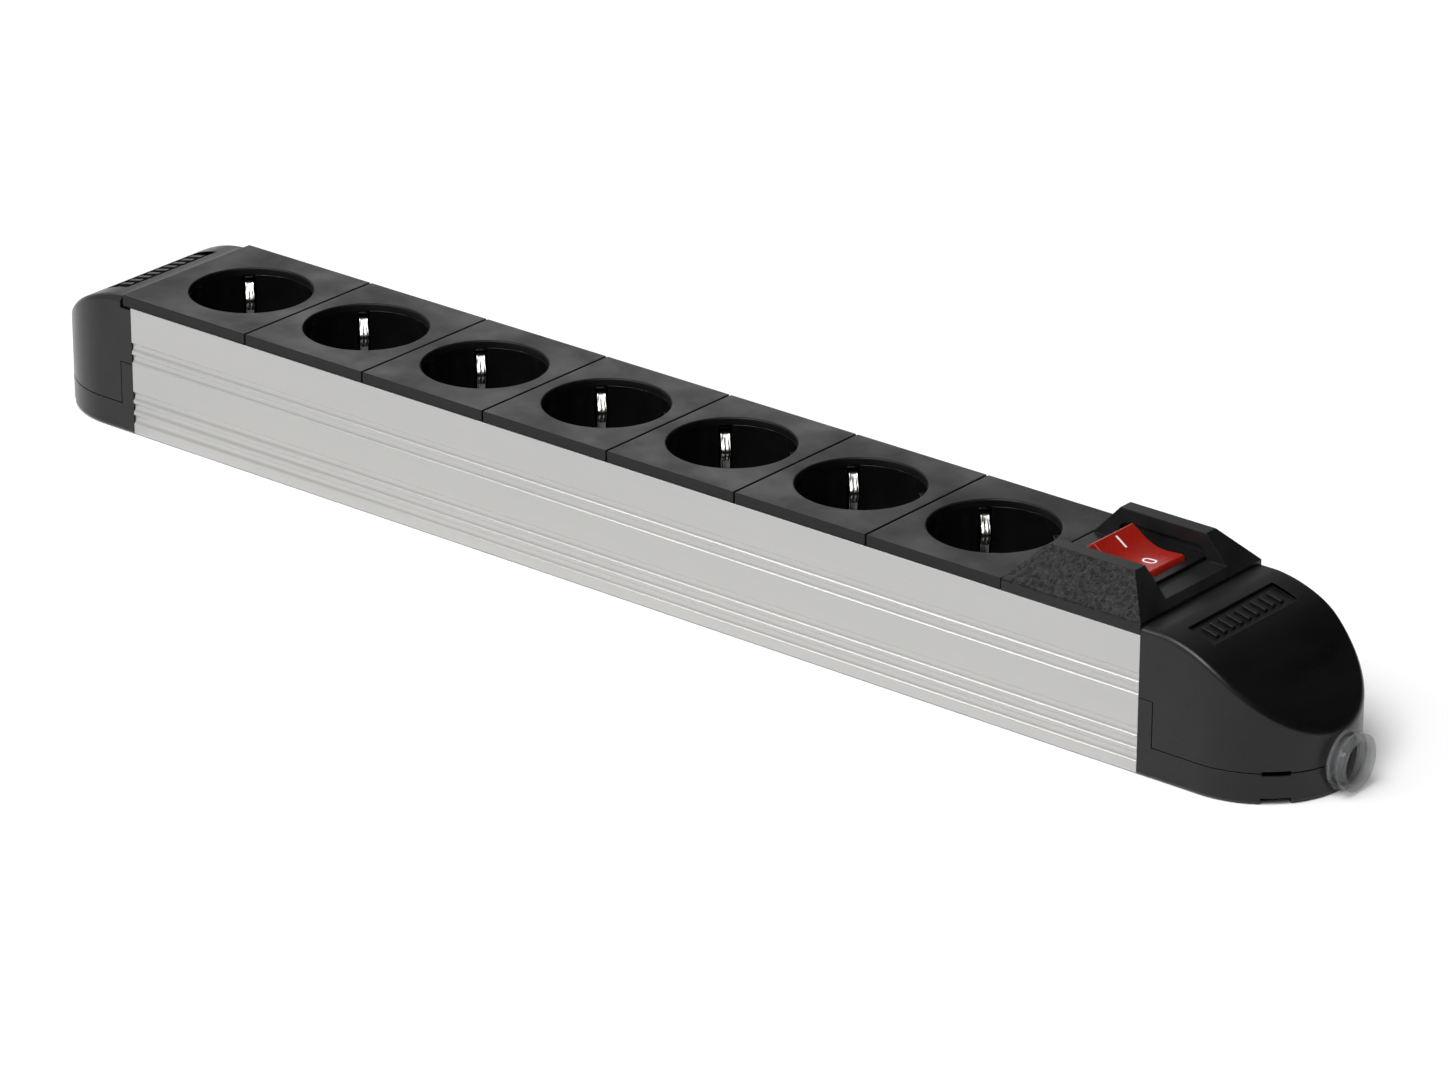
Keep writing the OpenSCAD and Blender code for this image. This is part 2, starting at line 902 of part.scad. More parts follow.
aluminium_profile();
rail_carrier();
live_rail();
neutral_rail();
earth_rail();
earth_screw();
for (i = [1:socket_count]) {
    socket_cover(i);
    socket_insert(i);
    earth_clip(i);
}
switch_cover();
switch_housing();
rocker();
live_plunger();
neutral_plunger();
plunger_springs();
live_lever();
neutral_lever();
live_supply_terminal();
neutral_supply_terminal();
live_load_terminal();
neutral_load_terminal();
indicator_lamp();
cable_end_base();
cable_end_hood();
cable_bushing();
cord_clamp();
cord_clamp_screws();
blank_end_base();
blank_end_hood();
hood_screws();
profile_screws();
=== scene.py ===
import math
import bmesh
import bpy
from mathutils import Matrix, Vector
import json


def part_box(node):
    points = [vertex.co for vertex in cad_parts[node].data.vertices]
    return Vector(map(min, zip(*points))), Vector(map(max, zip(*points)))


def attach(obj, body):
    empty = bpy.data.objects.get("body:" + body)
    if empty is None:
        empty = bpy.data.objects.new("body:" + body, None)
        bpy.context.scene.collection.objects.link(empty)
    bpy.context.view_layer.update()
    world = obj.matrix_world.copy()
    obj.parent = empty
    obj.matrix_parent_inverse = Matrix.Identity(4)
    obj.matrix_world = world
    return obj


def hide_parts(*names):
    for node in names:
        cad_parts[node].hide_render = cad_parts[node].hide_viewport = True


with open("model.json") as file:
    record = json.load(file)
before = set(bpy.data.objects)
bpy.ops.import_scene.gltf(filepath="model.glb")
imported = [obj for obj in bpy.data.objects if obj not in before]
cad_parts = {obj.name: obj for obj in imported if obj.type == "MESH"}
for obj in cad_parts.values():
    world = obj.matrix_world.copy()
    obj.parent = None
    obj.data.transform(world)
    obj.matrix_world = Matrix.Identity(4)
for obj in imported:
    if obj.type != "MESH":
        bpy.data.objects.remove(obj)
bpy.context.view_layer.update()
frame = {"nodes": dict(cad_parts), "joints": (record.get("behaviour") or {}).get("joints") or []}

# ---- Camera ----
# A long lens looks at the strip from its cord end, well above the table. It is turned a touch, as a
# camera held on a tripod by eye is.
view_turn, view_height, view_roll = math.radians(39.287), math.radians(23.378), math.radians(0.213)
aim = Vector((0.03304, -0.02084, 0.025))
backwards = Vector((math.sin(view_turn) * math.cos(view_height),
                    -math.cos(view_turn) * math.cos(view_height),
                    math.sin(view_height)))
sideways = Vector((math.cos(view_turn), math.sin(view_turn), 0))
basis = Matrix((sideways, backwards.cross(sideways), backwards)).transposed()
lens = bpy.data.cameras.new("long_lens")
lens.sensor_width = 36
lens.lens = 161.41
lens.clip_end = 20
stand_off = 1.95885
camera = bpy.data.objects.new("camera", lens)
camera.matrix_world = (Matrix.Translation(aim + backwards * stand_off)
                       @ (Matrix.Rotation(view_roll, 3, backwards) @ basis).to_4x4())
bpy.context.scene.collection.objects.link(camera)
bpy.context.scene.camera = camera


# ---- Aluminium trough ----
# One extruded length of aluminium with grooves down each side, satin anodised in its natural silver,
# sawn off square. It carries everything else. The drawn shape is kept, and gets the anodised skin.
class Value:
    """A number on a shader wire, which Python's arithmetic works on."""

    def __init__(self, finish, socket):
        self.finish = finish
        self.socket = socket

    def arithmetic(self, kind, a, b):
        return self.finish.node("ShaderNodeMath", {"operation": kind}, {0: a, 1: b})

    def __add__(self, other):
        return self.arithmetic("ADD", self, other)

    def __radd__(self, other):
        return self.arithmetic("ADD", other, self)

    def __sub__(self, other):
        return self.arithmetic("SUBTRACT", self, other)

    def __rsub__(self, other):
        return self.arithmetic("SUBTRACT", other, self)

    def __mul__(self, other):
        return self.arithmetic("MULTIPLY", self, other)

    def __rmul__(self, other):
        return self.arithmetic("MULTIPLY", other, self)


class Finish:
    """One material, made up node by node."""

    def __init__(self, name):
        self.material = bpy.data.materials.new(name)
        self.material.use_nodes = True
        self.tree = self.material.node_tree
        self.tree.nodes.clear()
        self.place = self.node("ShaderNodeTexCoord", out="Object")

    def node(self, kind, settings=None, sockets=None, out=0):
        """Any other node: its settings, the values or links of its sockets, and which output is used."""
        made = self.tree.nodes.new(kind)
        for name, value in (settings or {}).items():
            setattr(made, name, value)
        for key, value in (sockets or {}).items():
            if isinstance(value, Value):
                self.tree.links.new(value.socket, made.inputs[key])
            else:
                made.inputs[key].default_value = value
        return Value(self, made.outputs[out])

    def mottle(self, size, stretch=(1, 1, 1), detail=3, roughness=0.5):
        """Noise from about 0 to 1 whose blotches are size metres across, longer along the stretched axes."""
        scaled = self.node("ShaderNodeVectorMath", {"operation": "MULTIPLY"},
                           {0: self.place, 1: [1 / (size * s) for s in stretch]})
        return self.node("ShaderNodeTexNoise", {}, {"Vector": scaled, "Scale": 1.0, "Detail": detail,
                                                    "Roughness": roughness})

    def sharpen(self, share, gain):
        """Spreads a value of about 0 to 1 out from its middle."""
        return (share - 0.5) * gain + 0.5

    def between(self, share, low, high):
        """A colour from low to high by share."""
        colours = {0: share, 6: (*low, 1), 7: (*high, 1)}
        return self.node("ShaderNodeMix", {"data_type": "RGBA"}, colours, out=2)

    def relief(self, height, depth, rounding=0.0):
        """A normal with height's relief, depth metres deep, and edges softened by rounding metres."""
        sockets = {"Strength": 1.0, "Distance": depth, "Height": height}
        if rounding:
            sockets["Normal"] = self.node("ShaderNodeBevel", {"samples": 6}, {"Radius": rounding})
        return self.node("ShaderNodeBump", {}, sockets)

    def shade(self, **sockets):
        """The surface itself, and its way out of the material."""
        named = {key.replace("_", " "): value for key, value in sockets.items()}
        surface = self.node("ShaderNodeBsdfPrincipled", {}, named)
        outlet = self.tree.nodes.new("ShaderNodeOutputMaterial")
        self.tree.links.new(surface.socket, outlet.inputs["Surface"])
        return self


def dress(nodes, finish):
    """Gives drawn parts their finish."""
    for name in nodes:
        for place in frame["nodes"][name].material_slots:
            place.material = finish.material


anodised = Finish("anodised_aluminium")
drawn_lines = anodised.mottle(0.00035, stretch=(220, 1, 1), detail=2)
etching = anodised.mottle(0.0004, detail=2)
clouding = anodised.mottle(0.06, stretch=(3, 1, 1))
silver_tone = clouding * 0.6 + drawn_lines * 0.4
anodised.shade(
    Base_Color=anodised.between(silver_tone, (0.40, 0.397, 0.387), (0.47, 0.467, 0.458)),
    Metallic=1.0,
    Roughness=0.26 + 0.06 * drawn_lines + 0.05 * clouding,
    Normal=anodised.relief(drawn_lines * 0.7 + etching * 0.3, 0.000005, rounding=0.0003))
dress(["aluminium_profile"], anodised)

# ---- Conductors and their carrier ----
# Stamped brass strips that join the sockets, on a moulded insulating tray in the trough's floor. The
# earth strip is bent down to the trough and held by a zinc-plated screw.
insulator = Finish("plain_insulator")
mould_cloud = insulator.mottle(0.012)
insulator.shade(
    Base_Color=insulator.between(mould_cloud, (0.045, 0.045, 0.047), (0.07, 0.07, 0.072)),
    Roughness=0.5 + 0.15 * mould_cloud,
    Normal=insulator.relief(insulator.mottle(0.0005), 0.00002, rounding=0.0002))

brass = Finish("stamped_brass")
tarnish = brass.mottle(0.008)
rolling = brass.mottle(0.0002, stretch=(30, 1, 1), detail=2)
brass.shade(
    Base_Color=brass.between(tarnish, (0.62, 0.42, 0.16), (0.80, 0.60, 0.28)),
    Metallic=1.0,
    Roughness=0.22 + 0.25 * tarnish,
    Normal=brass.relief(rolling, 0.000006, rounding=0.00015))

zinc = Finish("zinc_plated_steel")
spangle = zinc.mottle(0.0015)
zinc.shade(
    Base_Color=zinc.between(spangle, (0.50, 0.51, 0.52), (0.68, 0.68, 0.67)),
    Metallic=1.0,
    Roughness=0.28 + 0.2 * spangle,
    Normal=zinc.relief(spangle, 0.00001, rounding=0.0001))

dress(["rail_carrier"], insulator)
dress(["live_rail", "neutral_rail", "earth_rail"], brass)
dress(["earth_screw"], zinc)

# ---- Socket inserts ----
# Round cups of polished black plastic under the covers, each with a rib and a slot on two sides and
# two holes for the pins. The mould is polished, so they mirror what is round them.
polished_black = Finish("polished_black")
handling = polished_black.mottle(0.009, detail=4)
polished_black.shade(
    Base_Color=polished_black.between(handling, (0.002, 0.002, 0.0022), (0.005, 0.005, 0.0052)),
    Roughness=0.10 + 0.14 * handling,
    Normal=polished_black.relief(polished_black.mottle(0.004), 0.00001, rounding=0.0002))
inserts = sorted(n for n in frame["nodes"] if n.startswith("socket_insert_"))
dress(inserts, polished_black)

# ---- Earth clips ----
# One nickel-plated sprung strip to a socket, bent up both sides of the recess. Each finger bows inwards
# near its tip, where two pressed ridges touch the plug, and then hooks over the wall.
mm = 0.001


def piece(name, shape, finish, body="strip", stands_for=(), wall=0.0, edge=0.0, limit=35):
    """A bmesh as a piece that rides on a body, with its wall thickened inwards and its edges rounded."""
    bmesh.ops.remove_doubles(shape, verts=shape.verts, dist=1e-6)
    bmesh.ops.dissolve_degenerate(shape, dist=1e-6, edges=shape.edges)
    bmesh.ops.recalc_face_normals(shape, faces=shape.faces)
    mesh = bpy.data.meshes.new(name)
    shape.to_mesh(mesh)
    shape.free()
    for polygon in mesh.polygons:
        polygon.use_smooth = True
    mesh.set_sharp_from_angle(angle=math.radians(limit))
    mesh.materials.append(finish.material)
    made = bpy.data.objects.new(name, mesh)
    bpy.context.scene.collection.objects.link(made)
    if wall:
        thick = made.modifiers.new("wall", "SOLIDIFY")
        thick.thickness = wall
        thick.offset = -1
    if edge:
        soft = made.modifiers.new("edges", "BEVEL")
        soft.width = edge
        soft.segments = 3
        soft.limit_method = "ANGLE"
        soft.angle_limit = math.radians(limit)
        soft.harden_normals = True
    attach(made, body)
    if stands_for:
        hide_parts(*stands_for)


def face(shape, *corners):
    """One face with corners of its own, which are joined to their neighbours later."""
    return shape.faces.new([shape.verts.new(c) for c in corners])


nickel = Finish("nickel_plated_spring")
rubbing = nickel.mottle(0.0002, stretch=(1, 1, 25), detail=2)
plating = nickel.mottle(0.003)
nickel.shade(
    Base_Color=nickel.between(plating, (0.50, 0.49, 0.46), (0.68, 0.67, 0.64)),
    Metallic=1.0,
    Roughness=0.14 + 0.10 * rubbing,
    Normal=nickel.relief(rubbing, 0.000004))
clip_half, strip_t = 1.45 * mm, 0.7 * mm
clip_turn = math.radians(135)
hook_gap = 0.2 * mm
foot_reach, finger_reach, hook_reach = 19.0, 19.2, (19.3, 19.8, 20.6)
bow_from, bow_to, bow_depth, bow_steps = 0.40, 0.86, 2.1, 12
ridge_rise, edge_droop, half_steps = 0.35 * mm, 0.12 * mm, 6


def clip_shape(centre, foot, tip):
    """A strip with a finger up each side; its points are millimetres out and shares of foot to tip."""
    rise = tip - foot
    bow_rise = bow_to - bow_from
    finger = [(foot_reach, 0.02), (finger_reach, 0.06), (finger_reach, 0.2), (finger_reach, bow_from)]
    for k in range(1, bow_steps):
        inwards = bow_depth * math.sin(math.pi * k / bow_steps) ** 1.5
        finger.append((finger_reach - inwards, bow_from + bow_rise * k / bow_steps))
    finger += list(zip(hook_reach, (bow_to + 0.02, 0.93, 0.985)))
    path = [(-u, v) for u, v in reversed(finger)] + [(u, v) for u, v in finger]
    rows = []
    for u, v in path:
        ridge = 0.0
        if bow_from < v < bow_to:
            ridge = ridge_rise * max(0.0, math.sin(math.pi * (v - bow_from) / bow_rise))
        row = []
        for k in range(-half_steps, half_steps + 1):
            across = k / half_steps
            lift = ridge * math.sin(math.pi * min(abs(across) / 0.85, 1.0)) ** 2 - edge_droop * across ** 4
            spot = Vector((u * mm - math.copysign(lift, u), across * clip_half, 0))
            row.append(Matrix.Rotation(clip_turn, 3, "Z") @ spot + Vector((centre, 0, foot + v * rise)))
        rows.append(row)
    shape = bmesh.new()
    for a, b in zip(rows, rows[1:]):
        for k in range(2 * half_steps):
            face(shape, a[k], a[k + 1], b[k + 1], b[k])
    return shape


for number in range(1, len(inserts) + 1):
    low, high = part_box(f"earth_clip_{number}")
    shape = clip_shape((low.x + high.x) / 2, low.z + strip_t / 2, high.z - hook_gap)
    piece(f"clip_{number}", shape, nickel, stands_for=[f"earth_clip_{number}"],
          wall=strip_t, limit=60)

# ---- Socket covers ----
# Square matt black plates, one to a socket, with a soft round edge at the mouth and a lip that stands
# on the trough's edge at each side. They are snapped on side by side with a thin seam between.
plate_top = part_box("socket_cover_2")[1].z
lip_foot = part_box("socket_cover_2")[0].z
plate_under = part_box("socket_insert_2")[1].z
side_gap, lip_width = 0.3 * mm, 1.9 * mm
side_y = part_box("socket_cover_2")[1].y - side_gap
lip_y = side_y - lip_width
mouth_r = 20 * mm
mouth_round, round_steps = 0.6 * mm, 6
mouth_steps = 112


def solid_finish(name, low, high, roughness, spread, grain, depth, smudge=0.02, streak=(1, 1, 1),
                 gloss=0.31):
    """Black moulded plastic: fine spark grain, faint smudges, and a tone that drifts a little."""
    finish = Finish(name)
    smudges = finish.sharpen(finish.mottle(smudge, stretch=streak, detail=4, roughness=0.6), 2.4)
    fine = finish.mottle(grain, detail=2)
    return finish.shade(
        Base_Color=finish.between(smudges * 0.7 + fine * 0.3, low, high),
        Specular_IOR_Level=gloss,
        Roughness=roughness - spread / 2 + spread * smudges + 0.06 * fine,
        Normal=finish.relief(fine, depth, rounding=0.0003))


def on_border(angle, centre, x_low, x_high, y_half):
    """Where a ray from the socket's middle leaves a rectangle."""
    dx, dy = math.cos(angle), math.sin(angle)
    steps = [y_half / abs(dy)] if abs(dy) > 1e-9 else []
    if abs(dx) > 1e-9:
        steps.append(((x_high if dx > 0 else x_low) - centre) / dx)
    step = min(steps)
    return centre + dx * step, dy * step


def cover_shape(x_low, x_high, centre, skirt):
    """The plate, its round mouth, its lips, and a skirt at its low end where it hangs over."""
    shape = bmesh.new()
    turns = {round(2 * math.pi * k / mouth_steps, 9) for k in range(mouth_steps)}
    for y in (side_y, lip_y):
        for x in (x_low, x_high):
            for sign in (-1, 1):
                turns.add(round(math.atan2(sign * y, x - centre) % (2 * math.pi), 9))
    turns = sorted(turns)
    rings = [(mouth_r, plate_under)]
    for k in range(round_steps + 1):
        a = math.radians(90 * k / round_steps)
        rings.append((mouth_r + mouth_round * (1 - math.cos(a)),
                      plate_top - mouth_round * (1 - math.sin(a))))
    for a, b in zip(turns, turns[1:] + turns[:1]):
        for (r0, z0), (r1, z1) in zip(rings, rings[1:]):
            face(shape, *[(centre + r * math.cos(t), r * math.sin(t), z)
                          for r, z, t in ((r0, z0, a), (r0, z0, b), (r1, z1, b), (r1, z1, a))])
        edge_a = on_border(a, centre, x_low, x_high, side_y)
        edge_b = on_border(b, centre, x_low, x_high, side_y)
        rim_r = mouth_r + mouth_round
        rim = [(centre + rim_r * math.cos(t), rim_r * math.sin(t)) for t in (a, b)]
        face(shape, (*rim[0], plate_top), (*rim[1], plate_top), (*edge_b, plate_top), (*edge_a, plate_top))
        in_a = on_border(a, centre, x_low, x_high, lip_y)
        in_b = on_border(b, centre, x_low, x_high, lip_y)
        bore = [(centre + mouth_r * math.cos(t), mouth_r * math.sin(t)) for t in (a, b)]
        face(shape, *[(*spot, plate_under) for spot in (*bore, in_b, in_a)])
        at_side = min(abs(edge_a[1]), abs(edge_b[1])) > lip_y - 1e-7
        at_skirt = skirt and max(edge_a[0], edge_b[0]) < x_low + 1e-7
        foot = lip_foot if at_side or at_skirt else plate_under
        face(shape, (*edge_a, plate_top), (*edge_b, plate_top), (*edge_b, foot), (*edge_a, foot))
    for sign in (-1, 1):
        low, high = (x_low, sign * lip_y), (x_high, sign * lip_y)
        face(shape, (*low, lip_foot), (*high, lip_foot), (*high, plate_under), (*low, plate_under))
        face(shape, (*low, lip_foot), (*high, lip_foot), (x_high, sign * side_y, lip_foot),
             (x_low, sign * side_y, lip_foot))
    return shape


matt_black = solid_finish("matt_black_plate", (0.003, 0.003, 0.0031), (0.007, 0.007, 0.0071), 0.38, 0.22,
                          0.00035, 0.00003, gloss=0.2)
for number in range(1, len(inserts) + 1):
    low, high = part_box(f"socket_cover_{number}")
    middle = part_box(f"socket_insert_{number}")
    piece(f"cover_{number}", cover_shape(low.x, high.x, (middle[0].x + middle[1].x) / 2, number == 1),
          matt_black, stands_for=[f"socket_cover_{number}"], edge=0.22 * mm, limit=50)

# ---- Switch works ----
# Brass contact levers and terminals, two sprung plungers and a neon lamp in the switch's case. They
# are pressed and clipped in before the rocker goes on.
dress(["live_plunger", "neutral_plunger", "live_lever", "neutral_lever", "live_supply_terminal",
       "neutral_supply_terminal", "live_load_terminal", "neutral_load_terminal"], brass)
spring_wire = Finish("bright_spring_wire")
wire_marks = spring_wire.mottle(0.0006)
spring_wire.shade(
    Base_Color=spring_wire.between(wire_marks, (0.33, 0.34, 0.35), (0.5, 0.5, 0.5)),
    Metallic=1.0,
    Roughness=0.2 + 0.15 * wire_marks)
dress(["plunger_springs"], spring_wire)
lamp_glass = Finish("lamp_glass")
glow = lamp_glass.mottle(0.002)
lamp_glass.shade(
    Base_Color=lamp_glass.between(glow, (0.9, 0.62, 0.4), (1.0, 0.85, 0.7)),
    Transmission_Weight=0.9,
    Roughness=0.03 + 0.05 * glow,
    IOR=1.5)
dress(["indicator_lamp"], lamp_glass)

# ---- Switch case and guards ----
# The case and its bezel are one satin moulding. The guards beside the rocker are part of the last
# cover plate: their outer slopes are spark-eroded to a coarse grain, and the rest is left smooth.
satin_black = solid_finish("satin_black_bezel", (0.0025, 0.0025, 0.0026), (0.006, 0.006, 0.0061), 0.34, 0.12,
                           0.0004, 0.000012)
dress(["switch_housing"], satin_black)
guard = Finish("guard_black")
grain = guard.sharpen(guard.mottle(0.0014, detail=2, roughness=0.6), 3.4)
smooth_tone = guard.mottle(0.015, detail=4)
outwards = guard.node("ShaderNodeNewGeometry", out="True Normal")
sideways_share = guard.node("ShaderNodeSeparateXYZ", {}, {0: outwards}, out="Y")
lean = guard.node("ShaderNodeMath", {"operation": "ABSOLUTE"}, {0: sideways_share})
slope_from, slope_to = 0.45, 0.97
coarse = (guard.node("ShaderNodeMath", {"operation": "GREATER_THAN"}, {0: lean, 1: slope_from})
          * guard.node("ShaderNodeMath", {"operation": "LESS_THAN"}, {0: lean, 1: slope_to}))
guard_tone = smooth_tone * (1 - coarse) + grain * coarse
guard.shade(
    Base_Color=guard.between(guard_tone, (0.0005, 0.0005, 0.0006), (0.019, 0.019, 0.0192)),
    Specular_IOR_Level=0.2,
    Roughness=0.33 + 0.1 * smooth_tone + 0.1 * coarse,
    Normal=guard.relief(grain * coarse + 0.03 * smooth_tone, 0.0003, rounding=0.0004))
dress(["switch_cover"], guard)

# ---- Rocker ----
# A saddle-shaped rocker in translucent red plastic, pivoted at its middle on two round pins, with the
# on and off marks let into it in white. It rests with the off side down.
pivot = next(Vector(j["pos_m"]) for j in frame["joints"] if j["name"] == "rocker_tilt")
rest_tilt = math.radians(15)
rocker_half_w = 9.8 * mm
saddle_x, saddle_z, saddle_slope, saddle_r = 9.5 * mm, 8.7 * mm, math.radians(19), 14 * mm
saddle_meet = saddle_r * math.sin(saddle_slope)
end_steps, saddle_steps = 8, 32


def saddle_height(x):
    """Height of the rocker's top above its pivot."""
    valley = saddle_z - saddle_x * math.tan(saddle_slope)
    if abs(x) < saddle_meet:
        return valley + saddle_r / math.cos(saddle_slope) - math.sqrt(saddle_r ** 2 - x * x)
    return valley + abs(x) * math.tan(saddle_slope)


def on_rocker(x, y, z):
    """From the level rocker, about its pivot, to where it rests."""
    return pivot + Matrix.Rotation(rest_tilt, 3, "Y") @ Vector((x, y, z))


def rocker_shape():
    """The side view's outline, round at both ends with a saddle between, as wide as the rocker."""
    shape = bmesh.new()
    end_r = math.hypot(saddle_x, saddle_z)
    rise = math.atan2(saddle_z, saddle_x)
    outline = [(end_r * math.cos(rise * k / end_steps), end_r * math.sin(rise * k / end_steps))
               for k in range(end_steps)]
    for k in range(saddle_steps + 1):
        x = saddle_x * (1 - 2 * k / saddle_steps)
        outline.append((x, saddle_height(x)))
    outline += [(-x, z) for x, z in reversed(outline[:end_steps])]
    for sign in (-1, 1):
        face(shape, *[on_rocker(x, sign * rocker_half_w, z) for x, z in outline])
    for a, b in zip(outline, outline[1:] + outline[:1]):
        face(shape, on_rocker(a[0], -rocker_half_w, a[1]), on_rocker(b[0], -rocker_half_w, b[1]),
             on_rocker(b[0], rocker_half_w, b[1]), on_rocker(a[0], rocker_half_w, a[1]))
    return shape


red = Finish("translucent_red")
flow = red.mottle(0.006, stretch=(1, 3, 1))
red.shade(
    Base_Color=red.between(flow, (0.24, 0.009, 0.005), (0.32, 0.014, 0.008)),
    Specular_IOR_Level=0.3,
    Roughness=0.22 + 0.1 * flow,
    IOR=1.5,
    Subsurface_Weight=0.35,
    Subsurface_Radius=(1.0, 0.12, 0.06),
    Subsurface_Scale=0.002,
    Normal=red.relief(red.mottle(0.003), 0.00001))
piece("rocker_cap", rocker_shape(), red, body="rocker", stands_for=["rocker"],
      edge=0.45 * mm)

inlay_lifts = (-0.15 * mm, 0.05 * mm)


def ribbon_on_saddle(line, width):
    """A thin inlay of the given width that follows a line of (x, y) over the rocker's top."""
    shape = bmesh.new()
    closed = line[0] == line[-1]
    points = [Vector(p) for p in (line[:-1] if closed else line)]
    count = len(points)
    rails = []
    for k, p in enumerate(points):
        before = points[k - 1] if closed or k else p
        after = points[(k + 1) % count] if closed or k < count - 1 else p
        along = (after - before).normalized()
        across = Vector((-along.y, along.x)) * width / 2
        rails.append([[on_rocker(q.x, q.y, saddle_height(q.x) + lift) for lift in inlay_lifts]
                      for q in (p - across, p + across)])
    pairs = list(zip(range(count), list(range(1, count)) + [0]))
    for a, b in pairs if closed else pairs[:-1]:
        (al, ah), (bl, bh) = rails[a], rails[b]
        face(shape, al[1], bl[1], bh[1], ah[1])
        face(shape, al[0], bl[0], bl[1], al[1])
        face(shape, ah[0], bh[0], bh[1], ah[1])
    return shape


inlay = Finish("white_inlay")
inlay_tone = inlay.mottle(0.001)
inlay.shade(
    Base_Color=inlay.between(inlay_tone, (0.78, 0.74, 0.72), (0.88, 0.86, 0.85)),
    Roughness=0.35 + 0.1 * inlay_tone)
bar_from, bar_length, bar_steps = -8.3, 4.4, 10
bar = [((bar_from + bar_length * k / bar_steps) * mm, 0.0) for k in range(bar_steps + 1)]
ring_x, ring_r, ring_straight, ring_steps = 4.6 * mm, 1.25 * mm, 0.75 * mm, 40
ring = []
for k in range(ring_steps + 1):
    a = 2 * math.pi * k / ring_steps
    reach = ring_straight if math.cos(a) > 0 else -ring_straight
    ring.append((ring_x + reach + ring_r * math.cos(a), ring_r * math.sin(a)))
ring[-1] = ring[0]
for name, line, width in (("rocker_on_mark", bar, 0.75 * mm), ("rocker_off_mark", ring, 0.6 * mm)):
    piece(name, ribbon_on_saddle(line, width), inlay, body="rocker")

# ---- End bases ----
# Moulded trays that close the trough's ends from below, with an ear up each side and a tongue inside
# the trough that two screws hold.
cap_black = solid_finish("satin_black_end", (0.0025, 0.0025, 0.0026), (0.006, 0.006, 0.0062), 0.27, 0.08,
                         0.0004, 0.00002, smudge=0.012, streak=(1, 4, 1))
dress(["cable_end_base", "blank_end_base"], cap_black)
dress(["cord_clamp"], insulator)
dress(["cord_clamp_screws", "hood_screws", "profile_screws"], zinc)

# ---- End hoods ----
# Moulded caps over the bases: upright walls round the nose, a top that is flat for a few millimetres
# and then rolls down to it, a soft round edge between, and a shallow recess with plain raised bars.
nose_r = 30 * mm
hood_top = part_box("cable_end_hood")[1].z
part_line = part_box("cable_end_hood")[0].z
ear_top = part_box("cable_end_base")[1].z
edge_r, edge_steps = 1.8 * mm, 6
seam = 0.3 * mm
hood_wall, hood_edge = 1.9 * mm, 0.15 * mm
flange_gap, slot_rise = 0.8 * mm, 0.8 * mm
bend_r, bend_from, slope = 42 * mm, math.radians(4), math.radians(38)
collar = 5 * mm
flat_length = 6 * mm
badge_from, badge_length, badge_half, badge_slope = 10 * mm, 9.5 * mm, 21 * mm, math.radians(13)
badge_depth, badge_steps = 1.5 * mm, 8
bar_count, bar_pitch, bar_half, bar_high, bar_root = 9, 4 * mm, 0.9 * mm, 0.9 * mm, 0.1 * mm
bar_start, bar_stop = 2 * mm, 2.2 * mm
cord_seat_r = 7.9 * mm
slot_middle, slot_half, slot_side = math.pi / 4, math.asin(4.25 * mm / nose_r), 0.0004
column_step, column_gap = 1.4 * mm, 0.5 * mm
first_stop, second_stop, flange_reach = 0.05 * mm, 1.5 * mm, 0.2 * mm
turn_step, turn_count = math.radians(2.5), 36
lid_edge_steps, lid_steps = 4, 8


def hood_height(x, run):
    """Height of the hood's top; x is from the middle of the nose, and the trough ends at -run."""
    start = flat_length - run
    if x <= start:
        return hood_top
    mid_x, mid_z = start - bend_r * math.sin(bend_from), hood_top - bend_r * math.cos(bend_from)
    last = mid_x + bend_r * math.sin(slope)
    if x <= last:
        return mid_z + math.sqrt(bend_r ** 2 - (x - mid_x) ** 2)
    return mid_z + bend_r * math.cos(slope) - (x - last) * math.tan(slope)


